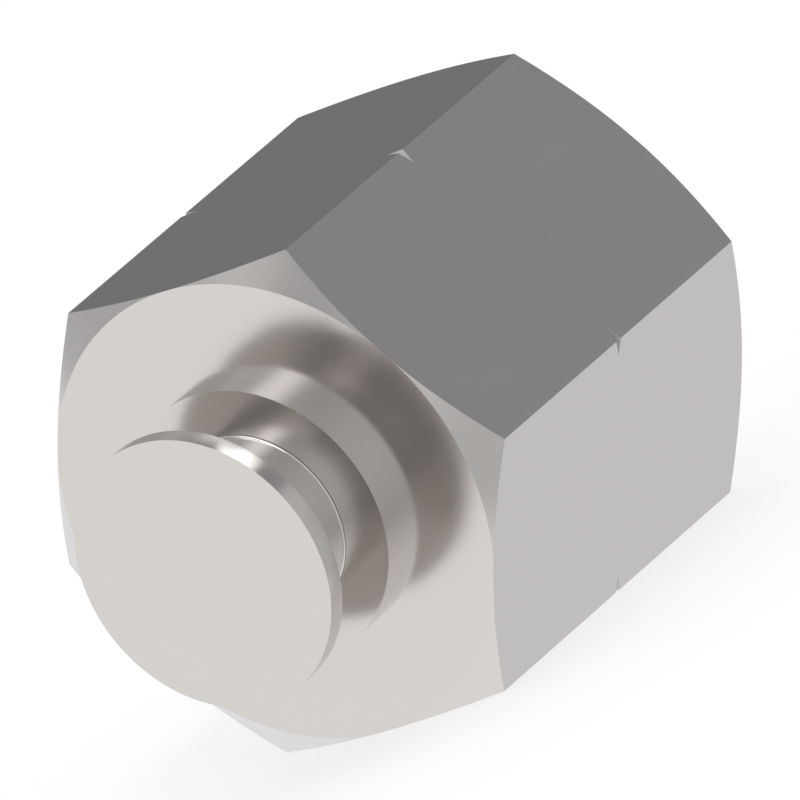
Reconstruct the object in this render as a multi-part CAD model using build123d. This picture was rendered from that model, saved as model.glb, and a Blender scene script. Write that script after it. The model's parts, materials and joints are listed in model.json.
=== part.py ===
from build123d import *
import math
import os

# Threaded plug, in millimetres. A hexagonal body screws onto a threaded outlet by the
# blind socket in its rear face, and a grooved knob on its front face holds the ring of
# a chain or lanyard. It is turned from one hexagonal bar, so it is one solid.
# The axis lies along Y: the knob points to -Y and the socket opens to +Y. The plug
# lies on one flat of the hexagon, with that flat at Z = 0.

# Thread in the socket: its largest diameter, and the advance of one turn
thread_diameter = 20.955
thread_pitch = 25.4 / 14

# Hexagonal body: the metal left between the thread and each flat sets the wrench size
socket_wall = 3.81
hex_length = 28.5
corner_chamfer = 1.27
chamfer_angle = 30.0

# V notch turned across each corner, half-way along the body
notch_depth = 0.475
notch_angle = 60.0

# Knob on the front face: a collar, a groove for the chain's ring, and a thin disc
knob_diameter = 16.8
collar_height = 1.65
groove_depth = 2.9
groove_width = 5.2
groove_fillet = 0.13
disc_thickness = 1.25

# Socket: bevelled mouth, thread, plain end of the tapping hole, and the drill's cone
mouth_bevel = 0.6
plain_length = 4.0
drill_point_angle = 118.0
front_wall = 3.8

# Depth of the thread's V in a hole, as a share of its pitch
thread_depth_share = 0.5413
# Turning tools start their cuts this far outside the bar
tool_clearance = 1.0

# Sizes that follow
hex_across_flats = thread_diameter + 2 * socket_wall
corner_radius = hex_across_flats / math.sqrt(3)
thread_radius = thread_diameter / 2
tapping_radius = thread_radius - thread_depth_share * thread_pitch
point_height = tapping_radius / math.tan(math.radians(drill_point_angle / 2))
drilled_length = hex_length - front_wall - point_height
thread_end = drilled_length - plain_length
knob_radius = knob_diameter / 2
neck_radius = knob_radius - groove_depth
overall_length = hex_length + collar_height + groove_width + disc_thickness
cutter_radius = corner_radius + tool_clearance


def outline(points):
    """A closed flat face through (radius, height) points."""
    return make_face(Polyline(*points, close=True))


def turned(face):
    """The solid that a (radius, height) face sweeps round the axis."""
    return revolve(Plane.XZ * face, Axis.Z)


def hex_bar():
    """The hexagonal bar, standing on its rear face, with two of its flats square to Y."""
    return extrude(RegularPolygon(hex_across_flats / 2, 6, major_radius=False), hex_length)


def chamfer_envelope():
    """A barrel with a cone at each end, which the bar's corners are turned back to."""
    slope = math.tan(math.radians(chamfer_angle))
    face_radius = corner_radius - corner_chamfer / slope
    cone_height = corner_chamfer + tool_clearance * slope
    return turned(outline([
        (0, 0),
        (face_radius, 0),
        (cutter_radius, cone_height),
        (cutter_radius, hex_length - cone_height),
        (face_radius, hex_length),
        (0, hex_length),
    ]))


def corner_notch():
    """The V ring that nicks each corner of the hexagon and misses its flats."""
    middle = hex_length / 2
    root_radius = corner_radius - notch_depth
    half_width = (cutter_radius - root_radius) * math.tan(math.radians(notch_angle / 2))
    return turned(outline([
        (root_radius, middle),
        (cutter_radius, middle + half_width),
        (cutter_radius, middle - half_width),
    ]))


def knob():
    """Collar, neck and disc, with the small fillets that the grooving tool's nose leaves."""
    groove_start = hex_length + collar_height
    groove_end = groove_start + groove_width
    half = outline([
        (0, hex_length),
        (knob_radius, hex_length),
        (knob_radius, groove_start),
        (neck_radius, groove_start),
        (neck_radius, groove_end),
        (knob_radius, groove_end),
        (knob_radius, overall_length),
        (0, overall_length),
    ])
    neck_corners = half.vertices().group_by(Axis.X)[1]
    return turned(fillet(neck_corners, groove_fillet))


def socket():
    """The blind hole: bevel, tapped wall, the tapping drill's plain wall and its cone."""
    return turned(outline([
        (0, 0),
        (thread_radius + mouth_bevel, 0),
        (thread_radius, mouth_bevel),
        (thread_radius, thread_end),
        (tapping_radius, thread_end),
        (tapping_radius, drilled_length),
        (0, drilled_length + point_height),
    ]))


def plug_body():
    """The whole plug, standing on its rear face."""
    hexagon = (hex_bar() & chamfer_envelope()) - corner_notch()
    return hexagon + knob() - socket()


def laid_down(standing):
    """Lays the standing plug on a flat, with its axis along Y and its knob towards -Y."""
    rear_centre = (0, overall_length / 2, hex_across_flats / 2)
    return Location(rear_centre, (90, 0, 0)) * standing


plug = laid_down(plug_body())
plug.label = "plug_body"
os.makedirs("parts", exist_ok=True)
export_step(plug, "parts/plug_body.step")
print("across flats", round(hex_across_flats, 3), "overall length", round(overall_length, 3))
print("volume", round(plug.volume), "solids", len(plug.solids()))
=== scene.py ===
import json
import math

import bmesh
import bpy
from mathutils import Matrix, Vector


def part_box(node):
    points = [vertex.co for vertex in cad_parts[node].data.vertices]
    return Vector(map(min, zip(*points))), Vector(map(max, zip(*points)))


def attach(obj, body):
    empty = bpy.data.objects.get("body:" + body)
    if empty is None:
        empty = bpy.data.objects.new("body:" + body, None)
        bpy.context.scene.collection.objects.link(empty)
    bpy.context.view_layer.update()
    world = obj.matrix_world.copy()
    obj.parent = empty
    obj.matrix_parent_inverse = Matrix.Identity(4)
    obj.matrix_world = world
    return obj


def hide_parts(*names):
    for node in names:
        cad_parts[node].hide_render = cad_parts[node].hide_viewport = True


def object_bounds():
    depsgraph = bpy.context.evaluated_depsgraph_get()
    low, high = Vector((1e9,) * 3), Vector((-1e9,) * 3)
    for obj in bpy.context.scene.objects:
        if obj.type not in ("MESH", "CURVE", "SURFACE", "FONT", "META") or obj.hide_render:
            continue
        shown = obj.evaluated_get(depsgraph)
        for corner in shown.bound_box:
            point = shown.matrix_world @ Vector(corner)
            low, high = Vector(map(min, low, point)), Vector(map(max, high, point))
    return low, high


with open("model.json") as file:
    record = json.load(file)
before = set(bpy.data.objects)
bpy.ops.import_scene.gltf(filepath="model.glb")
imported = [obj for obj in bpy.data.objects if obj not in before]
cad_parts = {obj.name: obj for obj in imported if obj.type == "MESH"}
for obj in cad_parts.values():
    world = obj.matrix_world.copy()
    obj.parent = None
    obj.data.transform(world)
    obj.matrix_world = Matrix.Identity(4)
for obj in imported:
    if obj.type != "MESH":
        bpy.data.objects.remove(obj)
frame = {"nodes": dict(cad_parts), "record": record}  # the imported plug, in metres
cadLow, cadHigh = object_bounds()
print("frame loaded:", len(frame["nodes"]), "node")

# Lengths in the dictionaries are millimetres, and angles are degrees
mm = 0.001
plugLow, plugHigh = (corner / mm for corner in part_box("plug_body"))
frontY, rearY = plugLow.y, plugHigh.y
axisHeight = (plugLow.z + plugHigh.z) / 2
halfFlats = (plugHigh.z - plugLow.z) / 2
sides = 6
flatSpan = 360 / sides  # what one flat takes of the way round the axis
cornerRadius = halfFlats / math.cos(math.radians(flatSpan / 2))

socketMount = next(m for m in frame["record"]["mounts"] if m["name"] == "thread_socket")

knob = {
    "radius": 8.4,
    "discThickness": 1.25,
    "grooveWidth": 5.2,
    "neckRadius": 5.5,
    "neckFillet": 0.13,
    "filletSteps": 7,
    "collarHeight": 1.65,
    "faceRings": (0, 0.04, 0.5),  # shares of the radius where the disc's face has a loop
    "guardLoop": 0.02,  # a loop this close to a fillet keeps the face beside it flat
}

hexagon = {
    "cornerChamfer": 1.27,
    "chamferAngle": 30,
    "notchDepth": 0.475,
    "notchAngle": 60,
    "stepsPerHalfFlat": 24,
}

socket = {
    "threadRadius": socketMount["dims"]["r_mm"],
    "threadLength": socketMount["dims"]["length_mm"],
    "pitch": 25.4 / 14,
    "depthShare": 0.5413,  # the ridges' height, crest and root as shares of the pitch
    "crestShare": 1 / 4,
    "rootShare": 1 / 8,
    "runOut": 2.0,  # where the tap's own taper leaves the last turn shallow
    "mouthBevel": 0.6,  # at 45 degrees
    "guardLoop": 0.02,
    "plainLength": 4.0,
    "pointAngle": 118,
}

discBackY = frontY + knob["discThickness"]
collarFaceY = discBackY + knob["grooveWidth"]
hexFaceY = collarFaceY + knob["collarHeight"]
chamferSlope = math.tan(math.radians(hexagon["chamferAngle"]))
faceRadius = cornerRadius - hexagon["cornerChamfer"] / chamferSlope
notchY = (hexFaceY + rearY) / 2
notchRootRadius = cornerRadius - hexagon["notchDepth"]
notchSlope = math.tan(math.radians(hexagon["notchAngle"] / 2))
threadDepth = socket["depthShare"] * socket["pitch"]
tappingRadius = socket["threadRadius"] - threadDepth
flankShare = (1 - socket["crestShare"] - socket["rootShare"]) / 2
halfGroove = (1 - socket["crestShare"]) / 2  # from a root's middle to the crest's edge
mouthRadius = socket["threadRadius"] + socket["mouthBevel"]
threadStartY = rearY - (mouthRadius - tappingRadius)  # the bevel has cut past the ridges here
threadEndY = rearY - socket["mouthBevel"] - socket["threadLength"]
boreEndY = threadEndY - socket["plainLength"]
boreTipY = boreEndY - tappingRadius / math.tan(math.radians(socket["pointAngle"] / 2))


# Angles are taken round the plug's axis, from straight up towards +X

def flatOffset(angle):  # from the middle of the nearest flat
    return (angle + flatSpan / 2) % flatSpan - flatSpan / 2


def hexRadius(angle):
    return halfFlats / math.cos(math.radians(flatOffset(angle)))


def ringAngles():  # even steps, and the places where chamfers and notches begin
    steps = hexagon["stepsPerHalfFlat"]
    chamferStart = math.degrees(math.acos(halfFlats / faceRadius))
    notchStart = math.degrees(math.acos(halfFlats / notchRootRadius))
    corner = flatSpan / 2
    halfFlat = [corner * step / steps for step in range(steps)]
    for exact in (chamferStart, notchStart):
        nearest = min(range(1, steps), key=lambda i: abs(halfFlat[i] - exact))
        halfFlat[nearest] = exact
    angles = []
    for flat in range(sides):
        middle = -180 + flatSpan * flat
        angles += [middle + a for a in halfFlat]
        angles += [middle + flatSpan - a for a in [corner] + halfFlat[:0:-1]]
    return angles + [180]


def fixedRing(radius, y):
    return lambda angle: (radius, y)


def filletRings(centreY, startAngle, endAngle):
    # a quarter round between neck and wall; 0 degrees points outward, and 90 to the rear
    fillet, steps = knob["neckFillet"], knob["filletSteps"]
    centreRadius = knob["neckRadius"] + fillet
    rings = []
    for step in range(steps + 1):
        a = math.radians(startAngle + (endAngle - startAngle) * step / steps)
        rings.append(fixedRing(centreRadius + fillet * math.cos(a), centreY + fillet * math.sin(a)))
    return rings


# Each row is (finish of the band that follows it, a function from angle to (radius, y))

def knobRows():
    radius, guard, fillet = knob["radius"], knob["guardLoop"], knob["neckFillet"]
    neck = knob["neckRadius"]
    rows = [("facedEnd", fixedRing(share * radius, frontY)) for share in knob["faceRings"]]
    rows.append(("turnedSide", fixedRing(radius, frontY)))
    rows.append(("facedEnd", fixedRing(radius, discBackY)))
    rows.append(("facedEnd", fixedRing(neck + fillet + guard, discBackY)))
    rows += [("polishedNeck", ring) for ring in filletRings(discBackY + fillet, 270, 180)]
    rows.append(("polishedNeck", fixedRing(neck, discBackY + fillet + guard)))
    rows.append(("polishedNeck", fixedRing(neck, collarFaceY - fillet - guard)))
    rows += [("polishedNeck", ring) for ring in filletRings(collarFaceY - fillet, 180, 90)]
    rows.append(("facedEnd", fixedRing(neck + fillet + guard, collarFaceY)))
    rows.append(("turnedSide", fixedRing(radius, collarFaceY)))
    rows.append(("facedEnd", fixedRing(radius, hexFaceY)))
    return rows


def hexRows():
    def faceEdge(y):
        return lambda angle: (min(faceRadius, hexRadius(angle)), y)

    def chamferEdge(y, inward):
        def at(angle):
            cut = max(0, hexRadius(angle) - faceRadius) * chamferSlope
            return hexRadius(angle), y + inward * cut
        return at

    def notchEdge(side):
        def at(angle):
            halfWidth = max(0, hexRadius(angle) - notchRootRadius) * notchSlope
            return hexRadius(angle), notchY + side * halfWidth
        return at

    return [
        ("turnedSide", faceEdge(hexFaceY)),
        ("drawnFlat", chamferEdge(hexFaceY, 1)),
        ("notchCut", notchEdge(-1)),
        ("notchCut", lambda angle: (min(notchRootRadius, hexRadius(angle)), notchY)),
        ("drawnFlat", notchEdge(1)),
        ("turnedSide", chamferEdge(rearY, -1)),
        ("facedEnd", faceEdge(rearY)),
    ]


def tappedRadius(y, angle):  # a 60 degree V, left-hand: it advances as the angle falls
    turn = (y / socket["pitch"] + angle / 360) % 1
    fromCrest = abs(turn - 0.5)
    cut = min(1, max(0, (fromCrest - socket["crestShare"] / 2) / flankShare))
    fade = min(1, (y - threadEndY) / socket["runOut"])
    return tappingRadius + threadDepth * cut * fade


def socketRows():
    pitch, guard = socket["pitch"], socket["guardLoop"]
    bevelEndY = rearY - socket["mouthBevel"]
    bevelSlope = 1
    flankSlope = socket["depthShare"] / flankShare  # depth for each mm along the axis
    halfRoot = socket["rootShare"] / 2

    def helixY(turn, angle):
        return pitch * (turn - angle / 360)

    def helix(turn):  # follows one edge of the thread, and stops at its two ends
        def at(angle):
            y = min(threadStartY, max(threadEndY, helixY(turn, angle)))
            return tappedRadius(y, angle), y
        return at

    def onBevel(edgeY):  # an edge of a groove that cuts into the bevel's cone
        def at(angle):
            y = min(bevelEndY, max(threadStartY, edgeY(angle)))
            return max(mouthRadius - bevelSlope * (rearY - y), tappedRadius(y, angle)), y
        return at

    def flankOnCone(crestEdge, closing):  # closing is how fast the flank and the cone draw together
        def edgeY(angle):
            fromStart = helixY(crestEdge, angle) - threadStartY
            return threadStartY + fromStart * flankSlope / closing
        return edgeY

    rows = [("turnedSide", fixedRing(mouthRadius, rearY))]
    rows.append(("turnedSide", fixedRing(socket["threadRadius"] + guard, bevelEndY + guard)))
    rows.append(("turnedSide", fixedRing(socket["threadRadius"], bevelEndY)))
    highest = math.ceil(bevelEndY / pitch) + 1
    lowest = math.floor(threadStartY / pitch) - 1
    for turn in range(highest, lowest - 1, -1):
        rows.append(("cutThread", onBevel(flankOnCone(turn + halfGroove, flankSlope + bevelSlope))))
        for rootEdge in (turn + halfRoot, turn - halfRoot):
            rows.append(("cutThread", onBevel(lambda angle, edge=rootEdge: helixY(edge, angle))))
        rows.append(("turnedSide", onBevel(flankOnCone(turn - halfGroove, flankSlope - bevelSlope))))
    highest = math.ceil(threadStartY / pitch + 0.5)
    lowest = math.floor(threadEndY / pitch - 0.5)
    for turn in range(highest, lowest - 1, -1):
        for edge in (1 - halfRoot, 1 - halfGroove, halfGroove, halfRoot):
            rows.append(("cutThread", helix(turn + edge)))
    rows.append(("drilledBore", fixedRing(tappingRadius, threadEndY)))
    rows.append(("drilledBore", fixedRing(tappingRadius, boreEndY)))
    rows.append(("drilledBore", fixedRing(0, boreTipY)))
    return rows


def plugMesh(finishes):
    rows = knobRows() + hexRows() + socketRows()
    angles = ringAngles()
    wide = len(angles)
    points, faces, faceFinish = [], [], []
    for _, at in rows:
        for angle in angles:
            radius, y = at(angle)
            a = math.radians(angle)
            points.append(Vector((radius * math.sin(a), y, axisHeight + radius * math.cos(a))) * mm)
    for j, (finish, _) in enumerate(rows[:-1]):
        for i in range(wide - 1):
            here = j * wide + i
            faces.append((here, here + 1, here + 1 + wide, here + wide))
            faceFinish.append(finishes.index(finish))
    mesh = bpy.data.meshes.new("plug_turned")
    mesh.from_pydata(points, [], faces)
    mesh.polygons.foreach_set("material_index", faceFinish)
    mesh.polygons.foreach_set("use_smooth", [True] * len(faces))
    return mesh


def weldAndCrease(mesh, weldDistance=0.0001 * mm, creaseAngle=14):
    work = bmesh.new()
    work.from_mesh(mesh)
    bmesh.ops.remove_doubles(work, verts=work.verts, dist=weldDistance)
    bmesh.ops.dissolve_degenerate(work, edges=work.edges, dist=weldDistance)
    for edge in work.edges:
        if len(edge.link_faces) == 2:
            edge.smooth = edge.calc_face_angle() < math.radians(creaseAngle)
    openEdges = sum(len(edge.link_faces) != 2 for edge in work.edges)
    print("plug mesh:", len(work.faces), "faces,", openEdges, "open edges,",
          round(work.calc_volume() / mm ** 3), "cubic mm")
    work.to_mesh(mesh)
    work.free()


# Shader helpers and the effects that several finishes share

def addNode(tree, kind, **settings):
    node = tree.nodes.new(kind)
    for name, value in settings.items():
        setattr(node, name, value)
    return node


def calc(tree, operation, first, second=None, third=None):
    node = addNode(tree, "ShaderNodeMath", operation=operation)
    for slot, value in zip(node.inputs, (first, second, third)):
        if isinstance(value, (int, float)):
            slot.default_value = value
        elif value is not None:
            tree.links.new(value, slot)
    return node.outputs[0]


def effectGroup(name, inputs, outputs):
    tree = bpy.data.node_groups.new(name, "ShaderNodeTree")
    for label, kind, value in inputs:
        made = tree.interface.new_socket(name=label, in_out="INPUT", socket_type=kind)
        if value is not None:
            made.default_value = value
    for label, kind in outputs:
        tree.interface.new_socket(name=label, in_out="OUTPUT", socket_type=kind)
    return tree, addNode(tree, "NodeGroupInput").outputs, addNode(tree, "NodeGroupOutput").inputs


noiseMiddle = 0.5  # a noise runs from 0 to 1


def noiseNode(tree, roughness=0.6, detail=3, dimensions="3D"):
    node = addNode(tree, "ShaderNodeTexNoise", noise_dimensions=dimensions)
    node.inputs["Scale"].default_value = 1
    node.inputs["Detail"].default_value = detail
    node.inputs["Roughness"].default_value = roughness
    return node


def placeInMillimetres(tree):
    where = addNode(tree, "ShaderNodeTexCoord")
    scaled = addNode(tree, "ShaderNodeVectorMath", operation="SCALE")
    scaled.inputs["Scale"].default_value = 1 / mm
    tree.links.new(where.outputs["Object"], scaled.inputs[0])
    return scaled.outputs[0]


def turnedRingsGroup(alongAxis=0.61):
    # rings that a tool leaves as the work turns, on faces, cones and sides alike. A step
    # along the axis counts for less than one outward.
    tree, given, out = effectGroup(
        "turnedRings",
        [("Spacing", "NodeSocketFloat", 0.2), ("Axis Height", "NodeSocketFloat", axisHeight)],
        [("Rings", "NodeSocketFloat")])
    parts = addNode(tree, "ShaderNodeSeparateXYZ")
    tree.links.new(placeInMillimetres(tree), parts.inputs[0])
    x, y, z = parts.outputs
    above = calc(tree, "SUBTRACT", z, given["Axis Height"])
    squared = calc(tree, "ADD", calc(tree, "MULTIPLY", x, x), calc(tree, "MULTIPLY", above, above))
    travel = calc(tree, "MULTIPLY_ADD", y, alongAxis, calc(tree, "SQRT", squared))
    lines = noiseNode(tree, dimensions="1D")
    tree.links.new(calc(tree, "DIVIDE", travel, given["Spacing"]), lines.inputs["W"])
    tree.links.new(lines.outputs["Fac"], out["Rings"])
    return tree


def drawnGrainGroup():
    # fine lines along the bar, left by the die that it was drawn through
    tree, given, out = effectGroup(
        "drawnGrain",
        [("Width", "NodeSocketFloat", 0.2), ("Length", "NodeSocketFloat", 12.0)],
        [("Grain", "NodeSocketFloat")])
    parts = addNode(tree, "ShaderNodeSeparateXYZ")
    tree.links.new(placeInMillimetres(tree), parts.inputs[0])
    x, y, z = parts.outputs
    stretched = addNode(tree, "ShaderNodeCombineXYZ")
    tree.links.new(calc(tree, "DIVIDE", x, given["Width"]), stretched.inputs[0])
    tree.links.new(calc(tree, "DIVIDE", y, given["Length"]), stretched.inputs[1])
    tree.links.new(calc(tree, "DIVIDE", z, given["Width"]), stretched.inputs[2])
    lines = noiseNode(tree)
    tree.links.new(stretched.outputs[0], lines.inputs["Vector"])
    tree.links.new(lines.outputs["Fac"], out["Grain"])
    return tree


def toolTraceGroup(hazeShare=0.5):
    # turns a line pattern and a slow haze into the metal's colour, roughness and relief
    tree, given, out = effectGroup(
        "toolTrace",
        [("Lines", "NodeSocketFloat", 0.5), ("Metal", "NodeSocketColor", (0.66, 0.63, 0.6, 1)),
         ("Tone Spread", "NodeSocketFloat", 0.03), ("Roughness", "NodeSocketFloat", 0.12),
         ("Roughness Spread", "NodeSocketFloat", 0.03), ("Haze Size", "NodeSocketFloat", 5.0)],
        [("Color", "NodeSocketColor"), ("Roughness", "NodeSocketFloat"), ("Height", "NodeSocketFloat")])
    haze = noiseNode(tree, roughness=0.5)
    tree.links.new(placeInMillimetres(tree), haze.inputs["Vector"])
    tree.links.new(calc(tree, "DIVIDE", 1, given["Haze Size"]), haze.inputs["Scale"])
    lines = calc(tree, "SUBTRACT", given["Lines"], noiseMiddle)
    cloud = calc(tree, "SUBTRACT", haze.outputs["Fac"], noiseMiddle)
    tone = calc(tree, "MULTIPLY_ADD", cloud, hazeShare, lines)
    shade = calc(tree, "MULTIPLY_ADD", tone, given["Tone Spread"], 1)
    tinted = addNode(tree, "ShaderNodeVectorMath", operation="SCALE")
    tree.links.new(given["Metal"], tinted.inputs[0])
    tree.links.new(shade, tinted.inputs["Scale"])
    tree.links.new(tinted.outputs[0], out["Color"])
    rough = calc(tree, "MULTIPLY_ADD", calc(tree, "ADD", cloud, lines), given["Roughness Spread"],
                 given["Roughness"])
    tree.links.new(rough, out["Roughness"])
    tree.links.new(given["Lines"], out["Height"])
    return tree


turnedRings = turnedRingsGroup()
drawnGrain = drawnGrainGroup()
toolTrace = toolTraceGroup()

# Rings are the spacing of the tool's lines, grain is a line's width and length, and
# relief is their height. Tone and spread are how far colour and roughness stray.
brightSteel = (0.655, 0.634, 0.618)
facedEnd = {
    "metal": brightSteel, "rings": 0.16, "tone": 0.02,
    "roughness": 0.18, "spread": 0.02, "relief": 0.0001,
}
turnedSide = {
    "metal": brightSteel, "rings": 0.10, "tone": 0.02,
    "roughness": 0.15, "spread": 0.02, "relief": 0.0001,
}
polishedNeck = {
    "metal": brightSteel, "rings": 0.30, "tone": 0.015,
    "roughness": 0.16, "spread": 0.02, "relief": 0.0001,
}
drawnFlat = {
    "metal": brightSteel, "grain": (0.16, 14), "tone": 0.03,
    "roughness": 0.16, "spread": 0.04, "relief": 0.0003,
}
# the notch's metal is darker than the bright steel: painted shade in the V groove, over its real
# rougher cut
notchCut = {
    "metal": (0.500, 0.485, 0.470), "rings": 0.10, "tone": 0.03,
    "roughness": 0.38, "spread": 0.04, "relief": 0.0005,
}
cutThread = {
    "metal": (0.600, 0.580, 0.565), "rings": 0.12, "tone": 0.10,
    "roughness": 0.26, "spread": 0.10, "relief": 0.001,
}
drilledBore = {
    "metal": (0.560, 0.540, 0.525), "rings": 0.25, "tone": 0.14,
    "roughness": 0.30, "spread": 0.12, "relief": 0.002,
}


def metalFinish(name, look):
    material = bpy.data.materials.new(name)
    material.use_nodes = True
    tree = material.node_tree
    shader = tree.nodes["Principled BSDF"]
    shader.inputs["Metallic"].default_value = 1
    if "grain" in look:
        lines = addNode(tree, "ShaderNodeGroup", node_tree=drawnGrain)
        lines.inputs["Width"].default_value, lines.inputs["Length"].default_value = look["grain"]
    else:
        lines = addNode(tree, "ShaderNodeGroup", node_tree=turnedRings)
        lines.inputs["Spacing"].default_value = look["rings"]
    trace = addNode(tree, "ShaderNodeGroup", node_tree=toolTrace)
    trace.inputs["Metal"].default_value = (*look["metal"], 1)
    trace.inputs["Tone Spread"].default_value = look["tone"]
    trace.inputs["Roughness"].default_value = look["roughness"]
    trace.inputs["Roughness Spread"].default_value = look["spread"]
    bump = addNode(tree, "ShaderNodeBump")
    bump.inputs["Strength"].default_value = 1
    bump.inputs["Distance"].default_value = look["relief"] * mm
    tree.links.new(lines.outputs[0], trace.inputs["Lines"])
    tree.links.new(trace.outputs["Color"], shader.inputs["Base Color"])
    tree.links.new(trace.outputs["Roughness"], shader.inputs["Roughness"])
    tree.links.new(trace.outputs["Height"], bump.inputs["Height"])
    tree.links.new(bump.outputs["Normal"], shader.inputs["Normal"])
    return material


finishes = {
    "facedEnd": facedEnd,
    "turnedSide": turnedSide,
    "polishedNeck": polishedNeck,
    "drawnFlat": drawnFlat,
    "notchCut": notchCut,
    "cutThread": cutThread,
    "drilledBore": drilledBore,
}
mesh = plugMesh(list(finishes))
weldAndCrease(mesh)
plug = bpy.data.objects.new("plug_turned", mesh)
bpy.context.scene.collection.objects.link(plug)
for name, look in finishes.items():
    mesh.materials.append(metalFinish(name, look))
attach(plug, "root")
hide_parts("plug_body")
print("plug dressed in", len(finishes), "finishes")

# What the metal sees: a grey room with soft-edged white and dark cards standing in it.
# A place is (azimuth from the front towards +X, elevation), and a card's shade is full
# inside its first half-angle and gone outside its second one.
room = {
    "wall": (0.60, 0.60, 0.60),
    "cards": {
        "frontSweep": {"place": (-3, -58), "reach": (10, 42), "shade": (1.0, 0.99, 0.98)},
        "whiteSweep": {"place": (-59, -50), "reach": (43, 53), "shade": (1.039, 1.026, 1.011)},
        "leftSweep": {"place": (-100, -22), "reach": (24, 42), "shade": (1.05, 1.06, 1.09)},
        "rightWall": {"place": (80, 2), "reach": (32, 62), "shade": (0.79, 0.79, 0.79)},
        "rearFloor": {"place": (176, -52), "reach": (14, 34), "shade": (0.79, 0.79, 0.80)},
        "darkLeft": {"place": (-140, 12.5), "reach": (24, 48), "shade": (0.205, 0.208, 0.213)},
        "darkRight": {"place": (149, 27), "reach": (4, 15), "shade": (0.31, 0.31, 0.315)},
        "leftGap": {"place": (-63, 26), "reach": (4, 19), "shade": (0.55, 0.55, 0.55)},
        "frontLow": {"place": (15, 8), "reach": (3, 16), "shade": (0.70, 0.70, 0.70)},
        "frontGap": {"place": (-5, 28), "reach": (4, 14), "shade": (0.48, 0.48, 0.48)},
        "frontFill": {"place": (-28, 28), "reach": (3, 11), "shade": (0.78, 0.78, 0.78)},
        "frontGlow": {"place": (-10, 57), "reach": (12, 20), "shade": (2.4, 2.4, 2.4)},
        "rimGlow": {"place": (162, 41), "reach": (2, 14), "shade": (2.0, 2.0, 2.0)},
        "rearGlow": {"place": (112, 60), "reach": (5, 11), "shade": (2.5, 2.5, 2.5)},
        "rearGap": {"place": (-171, 40), "reach": (3, 12), "shade": (0.25, 0.25, 0.25)},
    },
}

lamps = {
    "rearSoftbox": {"place": (121, 69), "distance": 600, "width": 266, "brightness": 2.0},
    "topSoftbox": {"place": (50, 65), "distance": 600, "width": 290, "brightness": 1.7},
}


def directionOf(place):
    azimuth, elevation = (math.radians(angle) for angle in place)
    level = math.cos(elevation)
    return Vector((math.sin(azimuth) * level, -math.cos(azimuth) * level, math.sin(elevation)))


def softCardGroup():
    tree, given, out = effectGroup(
        "softCard",
        [("Look", "NodeSocketVector", None), ("Toward", "NodeSocketVector", None),
         ("Full", "NodeSocketFloat", 0.9), ("Gone", "NodeSocketFloat", 0.8),
         ("Behind", "NodeSocketColor", (1, 1, 1, 1)), ("Shade", "NodeSocketColor", (0.5, 0.5, 0.5, 1))],
        [("Shade", "NodeSocketColor")])
    facing = addNode(tree, "ShaderNodeVectorMath", operation="DOT_PRODUCT")
    tree.links.new(given["Look"], facing.inputs[0])
    tree.links.new(given["Toward"], facing.inputs[1])
    cover = addNode(tree, "ShaderNodeMapRange", interpolation_type="SMOOTHSTEP")
    tree.links.new(facing.outputs["Value"], cover.inputs["Value"])
    tree.links.new(given["Gone"], cover.inputs["From Min"])
    tree.links.new(given["Full"], cover.inputs["From Max"])
    shade = addNode(tree, "ShaderNodeMixRGB")
    tree.links.new(cover.outputs["Result"], shade.inputs["Fac"])
    tree.links.new(given["Behind"], shade.inputs["Color1"])
    tree.links.new(given["Shade"], shade.inputs["Color2"])
    tree.links.new(shade.outputs["Color"], out["Shade"])
    return tree


def buildWorld():
    world = bpy.data.worlds.new("studioRoom")
    world.use_nodes = True
    bpy.context.scene.world = world
    tree = world.node_tree
    tree.nodes.clear()
    look = addNode(tree, "ShaderNodeTexCoord").outputs["Generated"]
    softCard = softCardGroup()
    shade = None
    for card in room["cards"].values():
        node = addNode(tree, "ShaderNodeGroup", node_tree=softCard)
        tree.links.new(look, node.inputs["Look"])
        node.inputs["Toward"].default_value = directionOf(card["place"])
        full, gone = (math.cos(math.radians(angle)) for angle in card["reach"])
        node.inputs["Full"].default_value = full
        node.inputs["Gone"].default_value = gone
        node.inputs["Shade"].default_value = (*card["shade"], 1)
        if shade is None:
            node.inputs["Behind"].default_value = (*room["wall"], 1)
        else:
            tree.links.new(shade, node.inputs["Behind"])
        shade = node.outputs["Shade"]
    white = addNode(tree, "ShaderNodeBackground")
    white.inputs["Color"].default_value = (1, 1, 1, 1)
    cards = addNode(tree, "ShaderNodeBackground")
    tree.links.new(shade, cards.inputs["Color"])
    path = addNode(tree, "ShaderNodeLightPath")  # reflections see the cards, and all else sees white
    mix = addNode(tree, "ShaderNodeMixShader")
    tree.links.new(path.outputs["Is Glossy Ray"], mix.inputs["Fac"])
    tree.links.new(white.outputs[0], mix.inputs[1])
    tree.links.new(cards.outputs[0], mix.inputs[2])
    tree.links.new(mix.outputs[0], addNode(tree, "ShaderNodeOutputWorld").inputs["Surface"])


def addLamp(name, lamp):
    data = bpy.data.lights.new(name, "AREA")
    data.shape = "DISK"
    data.size = lamp["width"] * mm
    # watts: the disc's brightness times pi times its area
    data.energy = lamp["brightness"] * math.pi * math.pi * (data.size / 2) ** 2
    lampObject = bpy.data.objects.new(name, data)
    toward = directionOf(lamp["place"])
    lampObject.location = Vector((0, 0, axisHeight)) * mm + toward * lamp["distance"] * mm
    lampObject.rotation_euler = toward.to_track_quat("Z", "Y").to_euler()
    lampObject.visible_camera = False
    bpy.context.scene.collection.objects.link(lampObject)


floorLook = {
    "width": 6000,
    "drop": 0.02,  # a gap, so that the plug's lowest flat and the floor don't share a plane
    "paint": (0.9, 0.9, 0.9),
    "whiteShare": 0.75,  # of what the camera sees of it, so only a soft shadow shows
}


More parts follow.
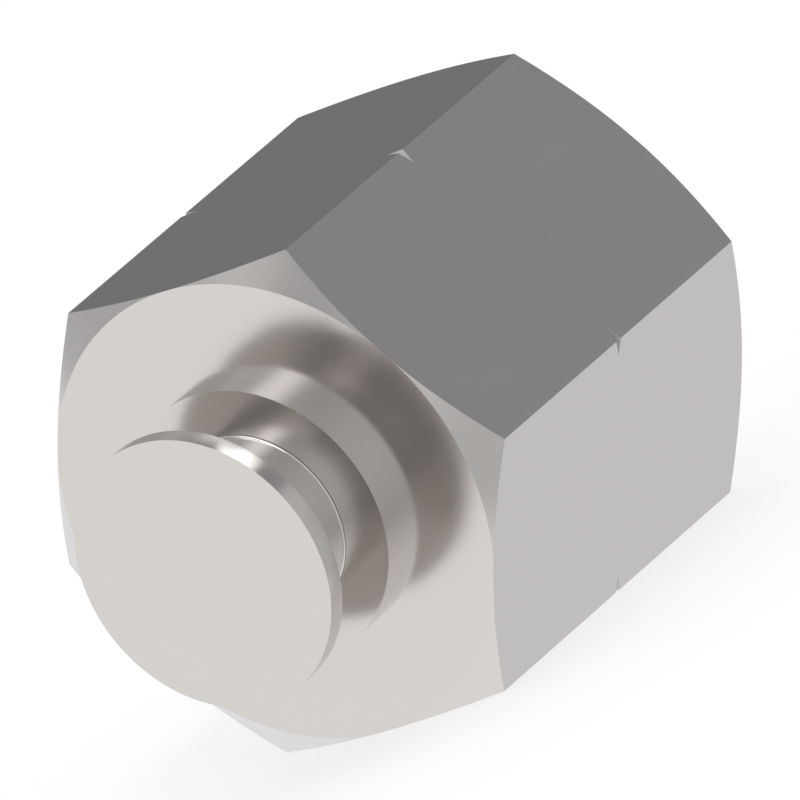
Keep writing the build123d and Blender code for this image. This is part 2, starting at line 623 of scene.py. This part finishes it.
def buildFloor():
    mesh = bpy.data.meshes.new("floor")
    half = floorLook["width"] * mm / 2
    corners = [(-half, -half), (half, -half), (half, half), (-half, half)]
    height = cadLow.z - floorLook["drop"] * mm
    mesh.from_pydata([(x, y, height) for x, y in corners], [], [(0, 1, 2, 3)])
    floor = bpy.data.objects.new("floor", mesh)
    bpy.context.scene.collection.objects.link(floor)
    floor.visible_glossy = False  # the metal sees the room's white sweep there instead
    material = bpy.data.materials.new("paleFloor")
    material.use_nodes = True
    tree = material.node_tree
    tree.nodes.clear()
    paint = addNode(tree, "ShaderNodeBsdfDiffuse")
    paint.inputs["Color"].default_value = (*floorLook["paint"], 1)
    white = addNode(tree, "ShaderNodeEmission")
    path = addNode(tree, "ShaderNodeLightPath")
    mix = addNode(tree, "ShaderNodeMixShader")
    whitened = calc(tree, "MULTIPLY", path.outputs["Is Camera Ray"], floorLook["whiteShare"])
    tree.links.new(whitened, mix.inputs["Fac"])
    tree.links.new(paint.outputs[0], mix.inputs[1])
    tree.links.new(white.outputs[0], mix.inputs[2])
    tree.links.new(mix.outputs[0], addNode(tree, "ShaderNodeOutputMaterial").inputs["Surface"])
    mesh.materials.append(material)


# The photo is a parallel projection, so the lens is as long as the views from other sides
# allow. The axes are the picture's right, its up, and the way from object to camera.
camera = {
    "lens": 1600,
    "distance": 2026.2,
    "clip": (100, 20000),
    "aim": (-0.022, 4.146, 14.427),
    "right": (0.75, 0.5, -0.4330127),
    "up": (0.2165064, 0.4330127, 0.875),
    "back": (0.625, -0.75, 0.2165064),
}


def buildCamera():
    data = bpy.data.cameras.new("camera")
    data.lens = camera["lens"]
    data.clip_start, data.clip_end = (limit * mm for limit in camera["clip"])
    cameraObject = bpy.data.objects.new("camera", data)
    axes = Matrix([camera["right"], camera["up"], camera["back"]]).transposed()
    cameraObject.rotation_mode = "QUATERNION"
    cameraObject.rotation_quaternion = axes.to_quaternion()
    cameraObject.location = (Vector(camera["aim"]) + Vector(camera["back"]) * camera["distance"]) * mm
    bpy.context.scene.collection.objects.link(cameraObject)
    bpy.context.scene.camera = cameraObject


buildWorld()
for name, lamp in lamps.items():
    addLamp(name, lamp)
buildFloor()
buildCamera()
bpy.context.scene.view_settings.view_transform = "Standard"
print("studio ready")
